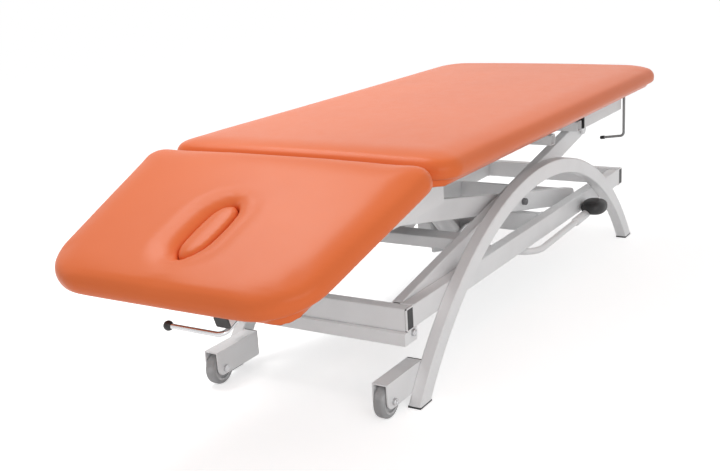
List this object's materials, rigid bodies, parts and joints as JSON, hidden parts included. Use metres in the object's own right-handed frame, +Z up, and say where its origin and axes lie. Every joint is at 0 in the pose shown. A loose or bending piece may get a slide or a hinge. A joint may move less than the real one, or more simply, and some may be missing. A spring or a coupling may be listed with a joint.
{
  "type": "treatment table",
  "caption": "Hydraulic physiotherapy treatment table: scissor lift on arch legs, long flat section and a tilting head section with a face slot and plug.",
  "frame": {"origin": "on the floor under the middle of the table's bounding box", "axes": "+X towards the foot end, +Y to the far long side, +Z up"},
  "size_m": [1.8858, 0.71, 0.5344],
  "materials": {
    "frame_white": "smooth satin powder coat",
    "trim_black": "matte moulded",
    "buffer_rubber": "matte",
    "fixing_steel": "zinc plated",
    "lever_chrome": "polished",
    "wire_grey": "satin",
    "wheel_grey": "satin moulded",
    "tyre_grey": "matte",
    "roller_plastic": "turned",
    "board_wood": "plywood under a black dust cloth",
    "cover_orange": "smooth wipe-clean artificial leather"
  },
  "bodies": {
    "base": {"side_beam_near": "frame_white", "side_beam_far": "frame_white", "cross_beam_head": "frame_white", "cross_beam_mid": "frame_white", "cross_beam_foot": "frame_white", "beam_caps": "trim_black", "arch_leg_near": "frame_white", "arch_leg_far": "frame_white", "foot_soles": "trim_black", "head_channel": "frame_white", "frame_bolts": "fixing_steel", "wheel_bracket_near": "frame_white", "wheel_bracket_far": "frame_white", "base_pins": "fixing_steel", "pump_bracket": "frame_white", "pump_body": "frame_white"},
    "wheel_near": {"wheel_hub_near": "wheel_grey", "wheel_tyre_near": "tyre_grey"},
    "wheel_far": {"wheel_hub_far": "wheel_grey", "wheel_tyre_far": "tyre_grey"},
    "outer_arms": {"outer_arm_near": "frame_white", "outer_arm_far": "frame_white", "outer_arm_cross": "frame_white"},
    "inner_arms": {"inner_arm_near": "frame_white", "inner_arm_far": "frame_white", "inner_arm_cross": "frame_white", "arm_pins": "fixing_steel", "stop_buffers": "buffer_rubber"},
    "foot_rollers": {"rollers_foot": "roller_plastic"},
    "top_rollers": {"rollers_top": "roller_plastic"},
    "ram_barrel": {"ram_barrel": "frame_white"},
    "ram_rod": {"ram_rod": "lever_chrome", "ram_top_pin": "fixing_steel"},
    "pedals": {"pedal_bar": "frame_white", "pedal_near": "trim_black", "pedal_far": "trim_black"},
    "bed": {"bed_rail_near": "frame_white", "bed_rail_far": "frame_white", "bed_tube_near": "frame_white", "bed_tube_far": "frame_white", "bed_cross_tubes": "frame_white", "roller_tracks": "frame_white", "bed_lugs": "frame_white", "bed_pins": "fixing_steel", "bed_caps": "trim_black", "roll_arms": "wire_grey", "main_board": "board_wood", "main_cushion": "cover_orange"},
    "head": {"head_tube_near": "frame_white", "head_tube_far": "frame_white", "head_caps": "trim_black", "head_cross_tube": "frame_white", "head_lugs": "frame_white", "quadrant": "frame_white", "head_board": "board_wood", "head_cushion": "cover_orange"},
    "face_plug": {"face_plug": "cover_orange"},
    "release_lever": {"release_lever": "lever_chrome", "lever_knob": "trim_black"}
  },
  "joints": [
    {"name": "wheel_near_roll", "type": "hinge", "parent": "base", "child": "wheel_near", "pos_m": [-0.5236, -0.21725, 0.0375], "axis": [0, 1, 0], "continuous": true},
    {"name": "wheel_far_roll", "type": "hinge", "parent": "base", "child": "wheel_far", "pos_m": [-0.5236, 0.21725, 0.0375], "axis": [0, 1, 0], "continuous": true},
    {"name": "lift", "type": "hinge", "parent": "base", "child": "outer_arms", "pos_m": [-0.3986, 0, 0.189], "axis": [0, -1, 0], "range_deg": [0, 24]},
    {"name": "scissor", "type": "hinge", "parent": "outer_arms", "child": "inner_arms", "pos_m": [0.13243, 0, 0.287], "axis": [0, -1, 0], "range_deg": [-48.01, 0.01]},
    {"name": "bed_level", "type": "hinge", "parent": "outer_arms", "child": "bed", "pos_m": [0.66347, 0, 0.385], "axis": [0, -1, 0], "range_deg": [-24.01, 0.01]},
    {"name": "foot_rollers_spin", "type": "hinge", "parent": "inner_arms", "child": "foot_rollers", "pos_m": [0.66344, 0, 0.18195], "axis": [0, 1, 0], "continuous": true},
    {"name": "top_rollers_spin", "type": "hinge", "parent": "inner_arms", "child": "top_rollers", "pos_m": [-0.39858, 0, 0.39205], "axis": [0, 1, 0], "continuous": true},
    {"name": "ram_swing", "type": "hinge", "parent": "base", "child": "ram_barrel", "pos_m": [0.2984, 0, 0.103], "axis": [0, -1, 0], "range_deg": [-8.71, 0.01]},
    {"name": "ram_stroke", "type": "slide", "parent": "ram_barrel", "child": "ram_rod", "axis": [-0.7349, 0, 0.6781], "range_m": [-0.0001, 0.1958]},
    {"name": "pedal_press", "type": "hinge", "parent": "base", "child": "pedals", "pos_m": [0.1824, 0, 0.153], "axis": [0, 1, 0], "range_deg": [-3, 14], "stiffness_Nm_per_rad": 60, "springref_deg": -4.01},
    {"name": "head_tilt", "type": "hinge", "parent": "bed", "child": "head", "pos_m": [-0.4821, 0, 0.4975], "axis": [0, 1, 0], "range_deg": [-30, 50]},
    {"name": "plug_lift", "type": "slide", "parent": "head", "child": "face_plug", "axis": [-0.342, 0, 0.9397], "range_m": [0, 0.08]},
    {"name": "lever_squeeze", "type": "hinge", "parent": "head", "child": "release_lever", "pos_m": [-0.78472, -0.123, 0.34362], "axis": [0.9397, 0, 0.342], "range_deg": [0, 8], "stiffness_Nm_per_rad": 1.5, "springref_deg": -5.73}
  ],
  "couplings": [
    {"joint": "scissor", "follows": "lift", "ratio": -2},
    {"joint": "bed_level", "follows": "lift", "ratio": -1},
    {"joint": "ram_swing", "follows": "lift", "ratio": -0.36267},
    {"joint": "ram_stroke", "follows": "lift", "m_per_rad": 0.46719}
  ]
}
